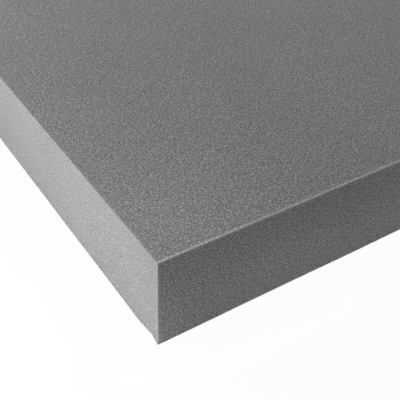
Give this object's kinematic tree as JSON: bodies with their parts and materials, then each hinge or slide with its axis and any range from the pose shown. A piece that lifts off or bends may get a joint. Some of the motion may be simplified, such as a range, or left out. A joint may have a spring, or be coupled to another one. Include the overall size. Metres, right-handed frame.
{
  "type": "acoustic foam panel",
  "caption": "Flat slab of grey open-cell foam with knife-cut sides, glued by its back to a wall or ceiling to absorb sound.",
  "frame": {"origin": "centre of the back face, the one that is glued to the wall, on which the panel also lies", "axes": "+Z out of the back towards the room, +X along the length, +Y along the width; the chipped corner is at -X, -Y"},
  "size_m": [0.3, 0.3, 0.05],
  "materials": {
    "foam": "matte"
  },
  "bodies": {
    "root": {"foam_panel": "foam"}
  },
  "joints": []
}
